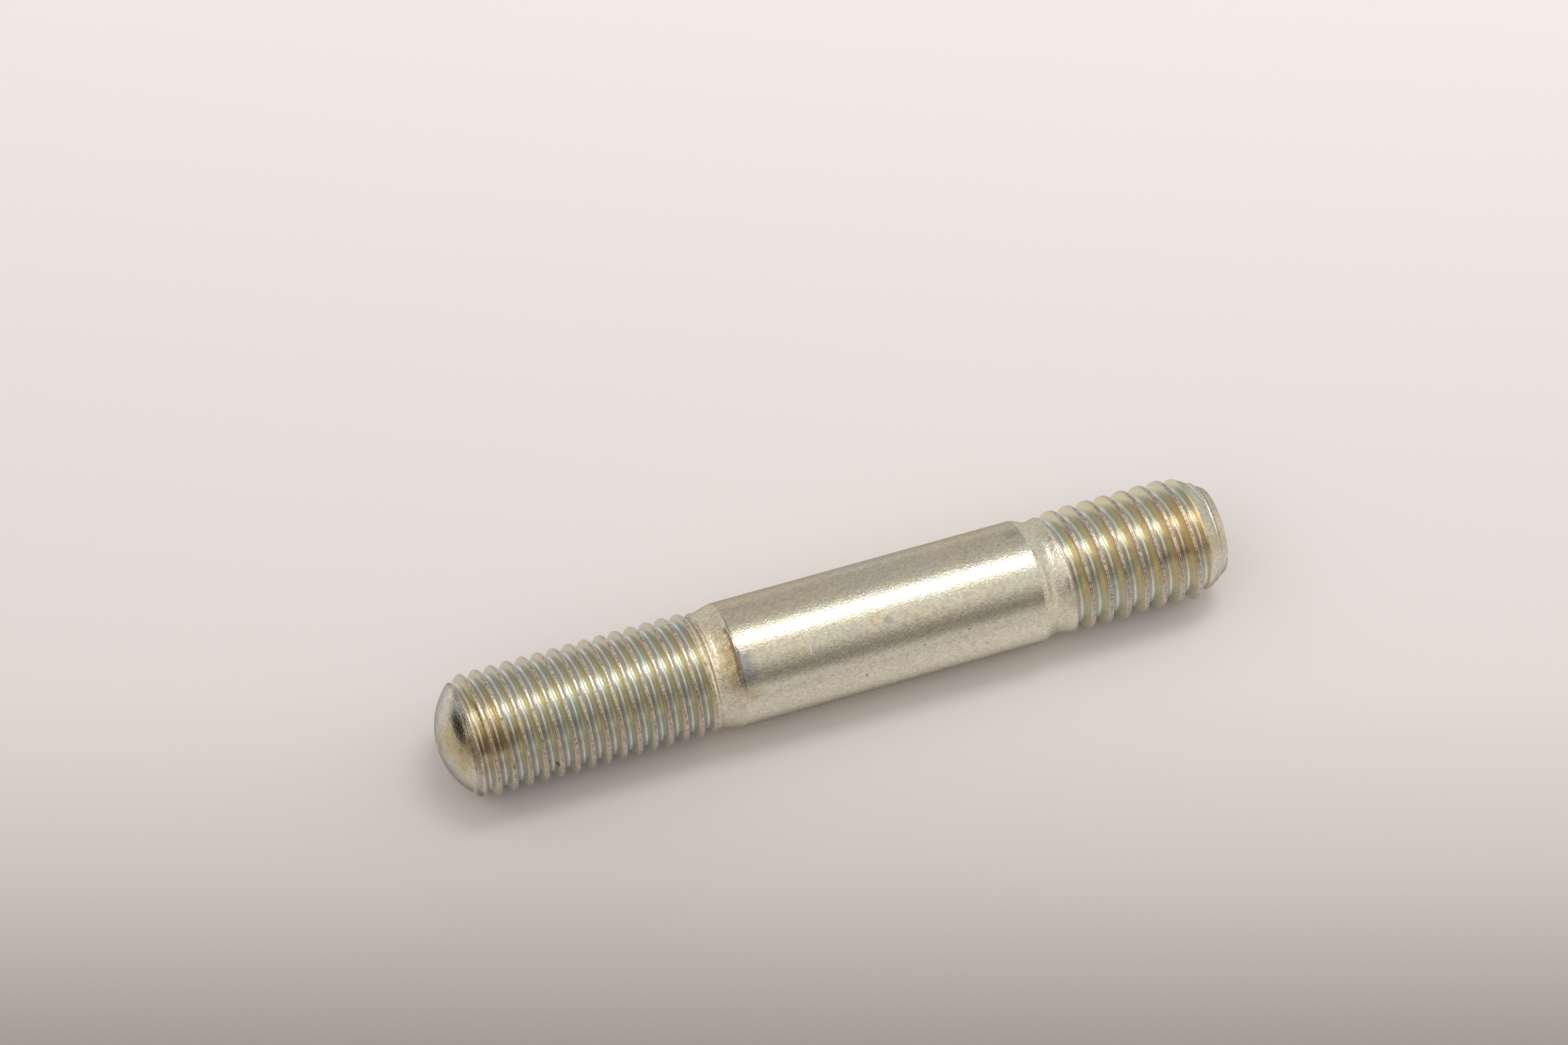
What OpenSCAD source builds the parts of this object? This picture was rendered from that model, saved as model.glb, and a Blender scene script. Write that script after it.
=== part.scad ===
// Double-ended stud bolt: a coarse tap end, a plain shank and a fine nut end.
// Both threads are rolled, so each one grows out of a neck as wide as its pitch diameter.
// The stud stands on the flat face of its tap end, with +Z along its axis.

/* [Thread] */
// Nominal size of both threads
thread_d = 10; // [8:0.5:14]

/* [Tap end] */
// Pitch of the coarse thread
tap_pitch = 1.5; // [1:0.25:1.75]
// How far its flattened crests stop short of the nominal size, across the thread
tap_crest_cut = 0.2; // [0:0.02:0.3]
// Length from the end face to the full width of the shank
tap_len = 15.9; // [12:0.1:30]
// Depth of the lead-in cone at the end face, on the radius
lead_in_depth = 1.4; // [0.9:0.1:2]
// Slope of the lead-in cone from the axis, in degrees
lead_in_angle = 30; // [25:1:45]
// Length of the rounded shoulder between neck and shank
tap_shoulder_len = 1.4; // [0.8:0.1:2.5]
// Length of the plain neck beside that shoulder
tap_neck_len = 0.15; // [0.05:0.05:1]
// How far from that shoulder the coarse groove ends
tap_groove_gap = 0.45; // [0:0.05:1.5]

/* [Shank] */
// How far the shank stops short of the nominal size, across it
shank_cut = 0.12; // [0:0.02:0.3]
// Length of the plain shank
shank_len = 24.7; // [10:0.1:60]

/* [Nut end] */
// Pitch of the fine thread
nut_pitch = 1.25; // [1:0.25:1.5]
// How far its flattened crests stop short of the nominal size, across the thread
nut_crest_cut = 0.24; // [0:0.02:0.3]
// Length from the shank to the top of the dome
nut_len = 23.2; // [15:0.1:50]
// Length of the conical shoulder between shank and neck
nut_shoulder_len = 1.35; // [0.6:0.05:2.5]
// Length of the plain neck beside that shoulder
nut_neck_len = 0.2; // [0.05:0.05:1]
// How far from that shoulder the fine groove ends
nut_groove_gap = 0.05; // [0:0.05:1.5]
// Height of the domed end above its edge
dome_h = 2.2; // [1:0.1:3]

/* [Run-out] */
// Turns of thread over which the crests sink into a neck
crest_fade = 1.75; // [1:0.05:2.5]
// Turns of thread over which a groove climbs out of the metal
groove_fade = 0.7; // [0.4:0.05:1]
// Turns of thread over which the first fine crest rises from the dome
crest_rise = 0.6; // [0.3:0.05:1]

/* [Hidden] */

// Metric thread form with 60 degree flanks, as parts of the pitch
flank_angle = 30;
sharp_depth = sin(60);                // depth of the sharp triangle
root_depth = 17 / 24 * sharp_depth;   // from the nominal size to the root
mid_depth = 3 / 8 * sharp_depth;      // from the nominal size to the pitch line
root_half_width = 1 / 12;

// Radii. Rolling starts from a blank as wide as the pitch diameter, which stays as the neck
shank_r = (thread_d - shank_cut) / 2;
tap_crest_r = (thread_d - tap_crest_cut) / 2;
tap_neck_r = thread_d / 2 - mid_depth * tap_pitch;
end_face_r = tap_crest_r - lead_in_depth;
nut_crest_r = (thread_d - nut_crest_cut) / 2;
nut_neck_r = thread_d / 2 - mid_depth * nut_pitch;
dome_r = (dome_h * dome_h + nut_neck_r * nut_neck_r) / (2 * dome_h);
dome_half_angle = asin(nut_neck_r / dome_r);

// Heights above the end face
lead_in_top = lead_in_depth / tan(lead_in_angle);
tap_neck_top = tap_len - tap_shoulder_len;
tap_neck_bottom = tap_neck_top - tap_neck_len;
tap_groove_end = tap_neck_top - tap_groove_gap;
shank_top = tap_len + shank_len;
nut_neck_bottom = shank_top + nut_shoulder_len;
nut_neck_top = nut_neck_bottom + nut_neck_len;
nut_groove_end = nut_neck_bottom + nut_groove_gap;
dome_top = shank_top + nut_len;
dome_edge = dome_top - dome_h;

// Where each groove ends, in turns round from +X
tap_groove_end_turn = 0.57;
nut_groove_end_turn = -0.59;

steps_per_turn = 36;      // flat facets of a groove in one turn
curve_steps = 8;          // stretches in a rounded shoulder or a run-out
dome_steps = 14;          // stretches in the dome's arc
cutter_clearance = 0.08;  // how far a cutter reaches outside the crests
overrun_turns = 1.25;     // how far a cutter runs on past an end of the stud
$fn = 96;

// From 0 to 1, arriving level: crests that sink into a neck
function settle(t) = 1 - (1 - t) * (1 - t);

// From 0 to 1, level at both ends: a rounded shoulder
function blend(t) = (1 - cos(180 * t)) / 2;

// A value between two others
function between(low, high, share) = low + (high - low) * share;

// Half outline of the stud before its grooves are rolled, from the end face up to the dome
function blank_outline() = concat(
  [[0, 0], [end_face_r, 0], [tap_crest_r, lead_in_top]],
  [for (i = [curve_steps:-1:0]) let (t = i / curve_steps)
    [between(tap_neck_r, tap_crest_r, settle(t)), tap_neck_bottom - crest_fade * tap_pitch * t]],
  [for (i = [0:curve_steps]) let (t = i / curve_steps)
    [between(tap_neck_r, shank_r, blend(t)), tap_neck_top + tap_shoulder_len * t]],
  [[shank_r, shank_top], [nut_neck_r, nut_neck_bottom]],
  [for (i = [0:curve_steps]) let (t = i / curve_steps)
    [between(nut_neck_r, nut_crest_r, settle(t)), nut_neck_top + crest_fade * nut_pitch * t]],
  [[nut_crest_r, dome_edge - crest_rise * nut_pitch]],
  [for (i = [dome_steps:-1:0]) let (angle = dome_half_angle * i / dome_steps)
    [dome_r * sin(angle), dome_top - dome_r * (1 - cos(angle))]]
);

// The stud before its grooves are rolled
module blank() {
  rotate_extrude() polygon(blank_outline());
}

// Section of a groove cutter, as [radius, height] corners round the root
function groove_section(crest_r, pitch) = let (
    root_r = thread_d / 2 - root_depth * pitch,
    outer_r = crest_r + cutter_clearance,
    root_w = root_half_width * pitch,
    outer_w = root_w + (outer_r - root_r) * tan(flank_angle))
  [[root_r, -root_w], [root_r, root_w], [outer_r, outer_w], [outer_r, -outer_w]];

// One right-hand groove from turn_a up to turn_b. Turn 0 lies over +X at the height z_at_0,
// and the cutter climbs out of the metal as it nears end_turn.
module groove(crest_r, pitch, z_at_0, turn_a, turn_b, end_turn) {
  section = groove_section(crest_r, pitch);
  climb = section[2][0] - section[0][0];
  steps = round(steps_per_turn * (turn_b - turn_a));
  points = [for (i = [0:steps])
    let (
      turn = between(turn_a, turn_b, i / steps),
      out = climb * max(0, 1 - abs(turn - end_turn) / groove_fade))
    for (corner = section)
      [(corner[0] + out) * cos(360 * turn), (corner[0] + out) * sin(360 * turn),
       z_at_0 + pitch * turn + corner[1]]];
  last = 4 * steps;
  faces = concat(
    [[0, 1, 2, 3], [last + 3, last + 2, last + 1, last]],
    [for (i = [0:steps - 1]) for (j = [0:3]) let (a = 4 * i + j, b = 4 * i + (j + 1) % 4)
      each [[a, a + 4, b + 4], [a, b + 4, b]]]);
  polyhedron(points, faces, convexity = 20);
}

// The coarse groove, from below the end face up to its shoulder
module tap_groove() {
  z_at_0 = tap_groove_end - tap_pitch * tap_groove_end_turn;
  groove(tap_crest_r, tap_pitch, z_at_0,
    -z_at_0 / tap_pitch - overrun_turns, tap_groove_end_turn, tap_groove_end_turn);
}

// The fine groove, from its shoulder up past the edge of the dome
module nut_groove() {
  z_at_0 = nut_groove_end - nut_pitch * nut_groove_end_turn;
  groove(nut_crest_r, nut_pitch, z_at_0,
    nut_groove_end_turn, (dome_edge - z_at_0) / nut_pitch + overrun_turns, nut_groove_end_turn);
}

// The whole stud, one piece of zinc-plated steel
module stud() {
  color([0.74, 0.71, 0.58])
    difference() {
      blank();
      tap_groove();
      nut_groove();
    }
}

stud();
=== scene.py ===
# %% [markdown]
# # A double-ended stud bolt
# A stud is a headless bolt. One end screws into a tapped hole and the other takes a nut. This one is a
# single bar of steel with a coarse thread, a plain shank and a fine thread, rolled and then plated with
# zinc. We load the measured solid first. It fixes the size and the place of everything that follows.

# %% Load the measured part
import math

import bmesh
import bpy
import numpy as np
from mathutils import Matrix, Vector, noise


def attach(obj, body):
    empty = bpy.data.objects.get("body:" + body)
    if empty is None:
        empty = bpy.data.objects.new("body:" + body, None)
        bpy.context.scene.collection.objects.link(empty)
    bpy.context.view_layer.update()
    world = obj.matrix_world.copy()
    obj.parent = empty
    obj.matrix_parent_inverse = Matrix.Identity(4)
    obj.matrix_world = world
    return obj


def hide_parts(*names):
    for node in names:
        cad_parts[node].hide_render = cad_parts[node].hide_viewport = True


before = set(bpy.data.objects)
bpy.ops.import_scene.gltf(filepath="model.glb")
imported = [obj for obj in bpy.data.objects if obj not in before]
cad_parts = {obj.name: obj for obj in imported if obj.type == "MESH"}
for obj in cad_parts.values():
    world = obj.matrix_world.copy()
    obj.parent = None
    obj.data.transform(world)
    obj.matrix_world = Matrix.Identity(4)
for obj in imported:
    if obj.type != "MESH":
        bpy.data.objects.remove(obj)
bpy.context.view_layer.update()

# %% [markdown]
# ## Sizes
# Sizes are in millimetres, as on a drawing, and every height is counted from the flat end face. The
# threads are M10: 1.5 mm from crest to crest at the coarse end and 1.25 mm at the fine end. Rolling
# pushes metal out of the grooves and up into the crests, so the necks that were never rolled keep the
# width of the bar, which is the pitch diameter. The radii below come out of the 60 degree thread form.

# %% Name the sizes
MM = 0.001
SHARP = math.sin(math.radians(60))        # depth of a sharp thread, in pitches
FLANK = math.tan(math.radians(30))        # a flank's run along the axis for each step out
COARSE, FINE = 1.5, 1.25                  # pitches
SHANK_R = 4.94
COARSE_CREST_R, FINE_CREST_R = 4.90, 4.88
COARSE_NECK_R, FINE_NECK_R = (5 - 3 / 8 * SHARP * pitch for pitch in (COARSE, FINE))
COARSE_ROOT_R, FINE_ROOT_R = (5 - 17 / 24 * SHARP * pitch for pitch in (COARSE, FINE))

END_FACE_R, LEAD_IN_TOP = 3.5, 2.425
COARSE_FADE_FROM, COARSE_NECK_LOW, COARSE_NECK_HIGH = 11.725, 14.35, 14.5
SHANK_LOW, SHANK_HIGH = 15.9, 40.6
FINE_NECK_LOW, FINE_NECK_HIGH, FINE_FADE_TO = 41.95, 42.15, 44.3375
DOME_FALL_FROM, DOME_EDGE, DOME_TOP = 60.85, 61.6, 63.8
DOME_R = ((DOME_TOP - DOME_EDGE) ** 2 + FINE_NECK_R ** 2) / (2 * (DOME_TOP - DOME_EDGE))
DOME_CENTRE = DOME_TOP - DOME_R
print(f"necks {COARSE_NECK_R:.3f} and {FINE_NECK_R:.3f} mm, roots {COARSE_ROOT_R:.3f} and "
      f"{FINE_ROOT_R:.3f} mm, dome radius {DOME_R:.2f} mm")

# %% [markdown]
# ## The camera
# The stud stands on its end face in this frame, but it is to be seen lying on its side, because a rod
# that is put down rolls. Turning the stud would take it out of the measured frame. So the camera is
# rolled over instead: it looks from the side, a little from above the domed end, and turns about its own
# line of sight until the axis lies across the view.

# %% Place the camera
AIM = Vector((9.43, 0, 33.14)) * MM
DISTANCE = 387.8 * MM
ELEVATION, ROLL = math.radians(13.446), math.radians(105.28)
LENS, SENSOR = 115.2, 36

camera = bpy.data.objects.new("camera", bpy.data.cameras.new("camera"))
bpy.context.scene.collection.objects.link(camera)
camera.data.lens, camera.data.sensor_width = LENS, SENSOR
camera.data.clip_start, camera.data.clip_end = 0.01, 10
line_of_sight = Vector((0, math.cos(ELEVATION), -math.sin(ELEVATION)))
rolled_over = line_of_sight.to_track_quat("-Z", "Y").to_matrix().to_4x4() @ Matrix.Rotation(-ROLL, 4, "Z")
camera.matrix_world = Matrix.Translation(AIM - line_of_sight * DISTANCE) @ rolled_over
bpy.context.scene.camera = camera
bpy.context.scene.view_settings.view_transform = "Standard"
bpy.context.view_layer.update()
print("camera at", [round(v / MM, 2) for v in camera.location],
      "up", [round(v, 4) for v in camera.matrix_world.to_3x3() @ Vector((0, 1, 0))])

# %% [markdown]
# ## The table
# The stud lies on a pale table, so the table touches the shank along one line, and it stands upright in
# this frame. A single plane is enough. It isn't part of the object.

# %% Lay the table
TABLE_TURN = math.radians(-56)            # which way round the axis the table's upper side faces
up = Vector((math.cos(TABLE_TURN), math.sin(TABLE_TURN), 0))
near = Vector((math.sin(TABLE_TURN), -math.cos(TABLE_TURN), 0))
TABLE_HALF, TABLE_MIDDLE = 1.2, 0.032     # metres from its middle to an edge, and its middle's height

sheet = bmesh.new()
bmesh.ops.create_grid(sheet, x_segments=4, y_segments=4, size=TABLE_HALF)
lie = Matrix((near, Vector((0, 0, 1)), up)).transposed()
below = Matrix.Translation(Vector((0, 0, TABLE_MIDDLE)) - up * SHANK_R * MM)
bmesh.ops.transform(sheet, verts=sheet.verts, matrix=below @ lie.to_4x4())
bmesh.ops.recalc_face_normals(sheet, faces=sheet.faces)
sheet.normal_update()
if sum((face.normal for face in sheet.faces), Vector()).dot(up) < 0:
    bmesh.ops.reverse_faces(sheet, faces=sheet.faces)
table = bpy.data.objects.new("table", bpy.data.meshes.new("table"))
sheet.to_mesh(table.data)
sheet.free()
bpy.context.scene.collection.objects.link(table)
print("table faces", [round(v, 3) for v in table.data.polygons[0].normal])


# %% [markdown]
# ## Building materials from nodes
# A few short helpers keep the node trees readable. Each adds one node to a tree, sets what is fixed and
# links what comes from another node.

# %% Node helpers
def node(tree, kind, inputs=None, **settings):
    """Adds a node. An input is a plain value, or an output socket to link."""
    made = tree.nodes.new(kind)
    for name, value in settings.items():
        setattr(made, name, value)
    for name, value in (inputs or {}).items():
        if isinstance(value, bpy.types.NodeSocket):
            tree.links.new(value, made.inputs[name])
        else:
            made.inputs[name].default_value = value
    return made


def math_of(tree, operation, *values, clamp=False):
    """One Math node's output."""
    made = node(tree, "ShaderNodeMath", dict(enumerate(values)), operation=operation, use_clamp=clamp)
    return made.outputs[0]


def smooth_step(tree, value, low, high):
    """From 0 at low to 1 at high, level at both ends."""
    return node(tree, "ShaderNodeMapRange", {"Value": value, "From Min": low, "From Max": high},
                interpolation_type="SMOOTHSTEP").outputs["Result"]


def blend_colours(tree, share, first, second, way="MIX"):
    """One Mix node's colour output."""
    mix = node(tree, "ShaderNodeMix", {"Factor": share}, data_type="RGBA", blend_type=way)
    for socket, value in ((mix.inputs[6], first), (mix.inputs[7], second)):
        if isinstance(value, bpy.types.NodeSocket):
            tree.links.new(value, socket)
        else:
            socket.default_value = (*value, 1)
    return mix.outputs[2]


def ramp(tree, value, stops):
    """A colour ramp through (place, colour) stops."""
    made = node(tree, "ShaderNodeValToRGB", {"Fac": value})
    elements = made.color_ramp.elements
    while len(elements) < len(stops):
        elements.new(0.5)
    for element, (place, colour) in zip(elements, stops):
        element.position, element.color = place, (*colour, 1)
    return made.outputs["Color"]


def srgb(red, green, blue):
    """A colour written as 0 to 255 screen values, turned into the linear values that nodes use."""
    return tuple((c / 255 / 12.92) if c <= 10 else ((c / 255 + 0.055) / 1.055) ** 2.4
                 for c in (red, green, blue))


# %% [markdown]
# ## The table's paint
# The table is painted board. A lamp close to one side would make it fall off in brightness, but such a
# lamp would also change the light on the stud. So the fall is in the paint: a ramp of a few pale warm
# greys, darker towards the near side and pale again beyond. Far past the domed end the board goes dark,
# which is what the polished dome mirrors. Seen from behind the board is clear, so it hides nothing in the
# other views.

# %% Finish the table
FALL_TURN = math.radians(18.5)             # how far the fall leans from near towards the domed end
PALE_SPAN, PALE_START = 0.2, 0.4           # metres that the ramp covers, and the ramp's place at the stud
PALE_STOPS = [(0.1, (237, 235, 233)), (0.46, (222, 217, 214)), (0.54, (204, 197, 194)),
              (0.63, (154, 147, 143)), (0.74, (218, 211, 207)), (0.85, (232, 226, 221))]
TABLE_ENDS, TABLE_DARK = 0.115, 0.165      # heights in metres between which the board goes dark
DARK_BOARD = (0.02, 0.018, 0.016)
fall = (near * math.cos(FALL_TURN) + Vector((0, 0, 1)) * math.sin(FALL_TURN)).normalized()
paint = bpy.data.materials.new("table_paint")
paint.use_nodes = True
tree = paint.node_tree
tree.nodes.clear()
on_board = node(tree, "ShaderNodeTexCoord").outputs["Object"]
toward_near = node(tree, "ShaderNodeVectorMath", {0: on_board, 1: fall},
                   operation="DOT_PRODUCT").outputs["Value"]
pale = ramp(tree, math_of(tree, "MULTIPLY_ADD", toward_near, 1 / PALE_SPAN, PALE_START),
            [(stop, srgb(*colour)) for stop, colour in PALE_STOPS])
far_up = node(tree, "ShaderNodeSeparateXYZ", {0: on_board}).outputs["Z"]
pale = blend_colours(tree, smooth_step(tree, far_up, TABLE_ENDS, TABLE_DARK), pale, DARK_BOARD)
board = node(tree, "ShaderNodeBsdfPrincipled",
             {"Base Color": pale, "Roughness": 0.75, "Specular IOR Level": 0.2})
clear = node(tree, "ShaderNodeBsdfTransparent")
behind = node(tree, "ShaderNodeNewGeometry").outputs["Backfacing"]
front_only = node(tree, "ShaderNodeMixShader", {0: behind, 1: board.outputs[0], 2: clear.outputs[0]})
node(tree, "ShaderNodeOutputMaterial", {"Surface": front_only.outputs[0]})
table.data.materials.append(paint)
print("table paint:", len(PALE_STOPS), "stops over", PALE_SPAN, "m")

# %% [markdown]
# ## Light
# Bare metal has hardly a colour of its own. It shows what is around it, so most of its look is the light.
# One long softbox hangs over the table and makes the bright line along the shank. An area lamp does this
# directly, and its power is worked out from its area, so its brightness stays the same when it is
# resized.

# %% Hang the softbox
SOFTBOX_TURN = math.radians(95.8)         # up from the near horizon, a little past straight overhead
SOFTBOX_DISTANCE, SOFTBOX_WIDTH, SOFTBOX_LENGTH = 0.5, 0.14, 0.23
SOFTBOX_RADIANCE = 5.5
SOFTBOX_ALONG = -0.08                     # height of its middle on the stud's axis
toward_box = near * math.cos(SOFTBOX_TURN) + up * math.sin(SOFTBOX_TURN)
softbox = bpy.data.objects.new("softbox", bpy.data.lights.new("softbox", "AREA"))
softbox.data.shape, softbox.data.size, softbox.data.size_y = "RECTANGLE", SOFTBOX_WIDTH, SOFTBOX_LENGTH
softbox.data.energy = SOFTBOX_RADIANCE * math.pi * SOFTBOX_WIDTH * SOFTBOX_LENGTH
across = Vector((0, 0, 1)).cross(toward_box)
softbox.matrix_world = (Matrix.Translation(toward_box * SOFTBOX_DISTANCE + Vector((0, 0, SOFTBOX_ALONG)))
                        @ Matrix((across, Vector((0, 0, 1)), toward_box)).transposed().to_4x4())
softbox.visible_camera = False
bpy.context.scene.collection.objects.link(softbox)
print(f"softbox {softbox.data.energy:.2f} W")

# %% [markdown]
# ## The room
# The rest of what the metal mirrors is the room. It is the world's colour by direction: a ramp over the
# angle up from the near horizon, dark low down on the near side and brighter overhead, which gives the
# shank its dark and pale bands. A few soft patches stand for things beyond the two ends. The camera
# itself sees only pale paper.

# %% Colour the room
world = bpy.data.worlds.new("room")
bpy.context.scene.world = world
world.use_nodes = True
tree = world.node_tree
tree.nodes.clear()
direction = node(tree, "ShaderNodeTexCoord").outputs["Generated"]
rise, reach = (node(tree, "ShaderNodeVectorMath", {0: direction, 1: side},
                    operation="DOT_PRODUCT").outputs["Value"] for side in (up, near))
angle = math_of(tree, "ARCTAN2", rise, reach)
share = math_of(tree, "MULTIPLY_ADD", angle, 1 / (2 * math.pi), 0.5, clamp=True)


def at(degrees):
    """An angle up from the near horizon, as a place on the ramp."""
    return degrees / 360 + 0.5


room = ramp(tree, share, [
    (0.0, (0.52, 0.50, 0.48)), (at(1), (0.76, 0.72, 0.68)), (at(10), (0.34, 0.32, 0.30)),
    (at(19), (0.17, 0.16, 0.15)), (at(27), (0.30, 0.28, 0.26)), (at(37), (0.62, 0.57, 0.54)),
    (at(48), (0.88, 0.83, 0.79)), (at(60), (0.98, 0.93, 0.89)), (at(90), (0.82, 0.79, 0.76)),
    (at(128), (0.54, 0.51, 0.49)), (at(178), (0.52, 0.50, 0.48))])
print("room:", len(room.node.color_ramp.elements), "stops round the axis")

# %% Patches beyond the two ends
SPOT_RISE, SPOT_REACH = 0.03, -0.22         # middle of the dark spot that the dome mirrors
SPOT_TALL, SPOT_WIDE = 0.15, 0.3
DARK_SPOT, WARM_FLOOR = (0.01, 0.008, 0.005), (0.40, 0.35, 0.26)
along = node(tree, "ShaderNodeSeparateXYZ", {0: direction}).outputs["Z"]
off_rise = math_of(tree, "MULTIPLY_ADD", rise, 1 / SPOT_TALL, -SPOT_RISE / SPOT_TALL)
off_reach = math_of(tree, "MULTIPLY_ADD", reach, 1 / SPOT_WIDE, -SPOT_REACH / SPOT_WIDE)
off_spot = math_of(tree, "SQRT", math_of(tree, "ADD", math_of(tree, "MULTIPLY", off_rise, off_rise),
                                         math_of(tree, "MULTIPLY", off_reach, off_reach)))
dark_spot = math_of(tree, "MULTIPLY", smooth_step(tree, off_spot, 1.4, 0.9),
                    smooth_step(tree, along, 0.4, 0.6))
room = blend_colours(tree, dark_spot, room, DARK_SPOT)


def band(low, low_full, high_full, high):
    """1 between two angles up from the near horizon, falling off softly on both sides."""
    return math_of(tree, "MULTIPLY", smooth_step(tree, share, at(low), at(low_full)),
                   smooth_step(tree, share, at(high), at(high_full)))


low_left = math_of(tree, "MULTIPLY", band(10, 25, 62, 80), smooth_step(tree, along, 0.75, 0.9))
room = blend_colours(tree, math_of(tree, "MULTIPLY", low_left, 0.6), room, WARM_FLOOR)
bright_right = math_of(tree, "MULTIPLY", smooth_step(tree, along, -0.3, -0.75), 0.22)
room = blend_colours(tree, bright_right, room, (1.0, 0.97, 0.94), "ADD")
low_right = math_of(tree, "MULTIPLY", band(0, 12, 30, 45), smooth_step(tree, along, -0.4, -0.65))
room = blend_colours(tree, low_right, room, (0.26, 0.24, 0.20), "ADD")
high_left = math_of(tree, "MULTIPLY", smooth_step(tree, along, 0.38, 0.5),
                    smooth_step(tree, rise, 0.4, 0.55))
room = blend_colours(tree, high_left, room, (0.7, 0.69, 0.67), "ADD")
print("room with its patches:", len(tree.nodes), "nodes")

# %% Paper behind the stud
seen = node(tree, "ShaderNodeLightPath").outputs["Is Camera Ray"]
lit = node(tree, "ShaderNodeBackground", {"Color": room, "Strength": 1.0})
paper = node(tree, "ShaderNodeBackground", {"Color": (*srgb(236, 231, 226), 1), "Strength": 1.0})
split = node(tree, "ShaderNodeMixShader", {0: seen, 1: lit.outputs[0], 2: paper.outputs[0]})
node(tree, "ShaderNodeOutputWorld", {"Surface": split.outputs[0]})
print("room nodes:", len(tree.nodes))

# %% [markdown]
# ## The bar with its helical grid
# On the real stud the threads are rolled between dies into a plain bar. The mesh is made in the same
# order. First comes a plain bar whose edges already wind round it like the thread: one upright row of
# points, spun through one turn while it climbs by its own length, gives one ribbon, and ribbons stacked
# on each other close into a tube. Rows of points are closest together where a crest or a root will be.
# Then the rows slide to their true heights, and the last step presses every point to its true radius.

# %% Spin one ribbon
STEPS = 96                                 # points round one turn
# From a root at 0 to the next crest at 0.5, in pitches
HALF_PITCH_ROWS = [0, 0.055, 0.105, 0.145, 0.23, 0.32, 0.358, 0.38, 0.4, 0.42, 0.445, 0.472, 0.5]
ROWS = [-row for row in reversed(HALF_PITCH_ROWS[1:])] + HALF_PITCH_ROWS
FIRST_TURN, LAST_TURN = -11, 25            # how many ribbons are stacked, as whole turns

bar = bmesh.new()
column = [bar.verts.new((1, 0, row)) for row in ROWS]
edges = [bar.edges.new(pair) for pair in zip(column, column[1:])]
bmesh.ops.spin(bar, geom=column + edges, cent=(0, 0, 0), axis=(0, 0, 1), angle=2 * math.pi, steps=STEPS,
               dvec=(0, 0, 1 / STEPS), use_merge=False)
print("one ribbon:", len(bar.verts), "points, up to", round(max(v.co.z for v in bar.verts), 4))

# %% Stack the ribbons into a tube
ribbon = bar.verts[:] + bar.edges[:] + bar.faces[:]
bmesh.ops.translate(bar, verts=bar.verts, vec=(0, 0, FIRST_TURN))
for turn_number in range(1, LAST_TURN - FIRST_TURN):
    copy = bmesh.ops.duplicate(bar, geom=ribbon)["geom"]
    bmesh.ops.translate(bar, verts=[v for v in copy if isinstance(v, bmesh.types.BMVert)],
                        vec=(0, 0, turn_number))
bmesh.ops.remove_doubles(bar, verts=bar.verts, dist=1e-4)
print("tube:", len(bar.verts), "points")

# %% [markdown]
# The tube counts its height in turns. Along each thread one turn is one pitch, and over the plain shank
# the rows are stretched far apart, because nothing happens there. A smooth curve joins the two spacings.

# %% Slide the rows to their heights
COARSE_GROOVE_AT, FINE_GROOVE_AT, FINE_TURN = 13.195, 42.74, 8   # heights of two grooves straight over +X
COARSE_TO, FINE_FROM = 1.54, 7.37          # turns between which the rows are stretched


def height_of(turns):
    """Height in millimetres of a point that many turns up the tube."""
    low, high = COARSE_GROOVE_AT + COARSE * COARSE_TO, FINE_GROOVE_AT + FINE * (FINE_FROM - FINE_TURN)
    span = FINE_FROM - COARSE_TO
    t = np.clip((turns - COARSE_TO) / span, 0, 1)
    stretched = ((2 * t ** 3 - 3 * t ** 2 + 1) * low + (t ** 3 - 2 * t ** 2 + t) * span * COARSE
                 + (3 * t ** 2 - 2 * t ** 3) * high + (t ** 3 - t ** 2) * span * FINE)
    return np.where(turns < COARSE_TO, COARSE_GROOVE_AT + COARSE * turns,
                    np.where(turns > FINE_FROM, FINE_GROOVE_AT + FINE * (turns - FINE_TURN), stretched))


for v, true_height in zip(bar.verts, height_of(np.array([v.co.z for v in bar.verts]))):
    v.co.z = true_height
print("heights from", round(min(v.co.z for v in bar.verts), 2),
      "to", round(max(v.co.z for v in bar.verts), 2))

# %% [markdown]
# Shoulders and necks need edges that run level round the bar, across the helical rows. Cutting with a
# level plane makes them. A cut also leaves odd points where it crosses a row, which would dent the
# reflections, so each of those is welded to its nearest neighbour on a proper column.

# %% Cut level rings
RIM, CROWN = 0.05, 62.15                   # heights where the end face and the dome take over
RIDGE = 0.78                               # a narrow raised ring on the lead-in cone
RINGS = [RIM, 0.35, RIDGE - 0.1, RIDGE - 0.05, RIDGE, RIDGE + 0.05, RIDGE + 0.12, 1.05, 1.4,
         LEAD_IN_TOP - 0.05, LEAD_IN_TOP + 0.05, COARSE_NECK_LOW, COARSE_NECK_HIGH, SHANK_LOW,
         SHANK_HIGH - 0.04, SHANK_HIGH, SHANK_HIGH + 0.04, FINE_NECK_LOW - 0.03, FINE_NECK_LOW + 0.03,
         FINE_NECK_HIGH, CROWN]


def turns_round(v):
    """How far round from +X a point is, in turns."""
    return math.atan2(v.co.y, v.co.x) / (2 * math.pi)


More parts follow.
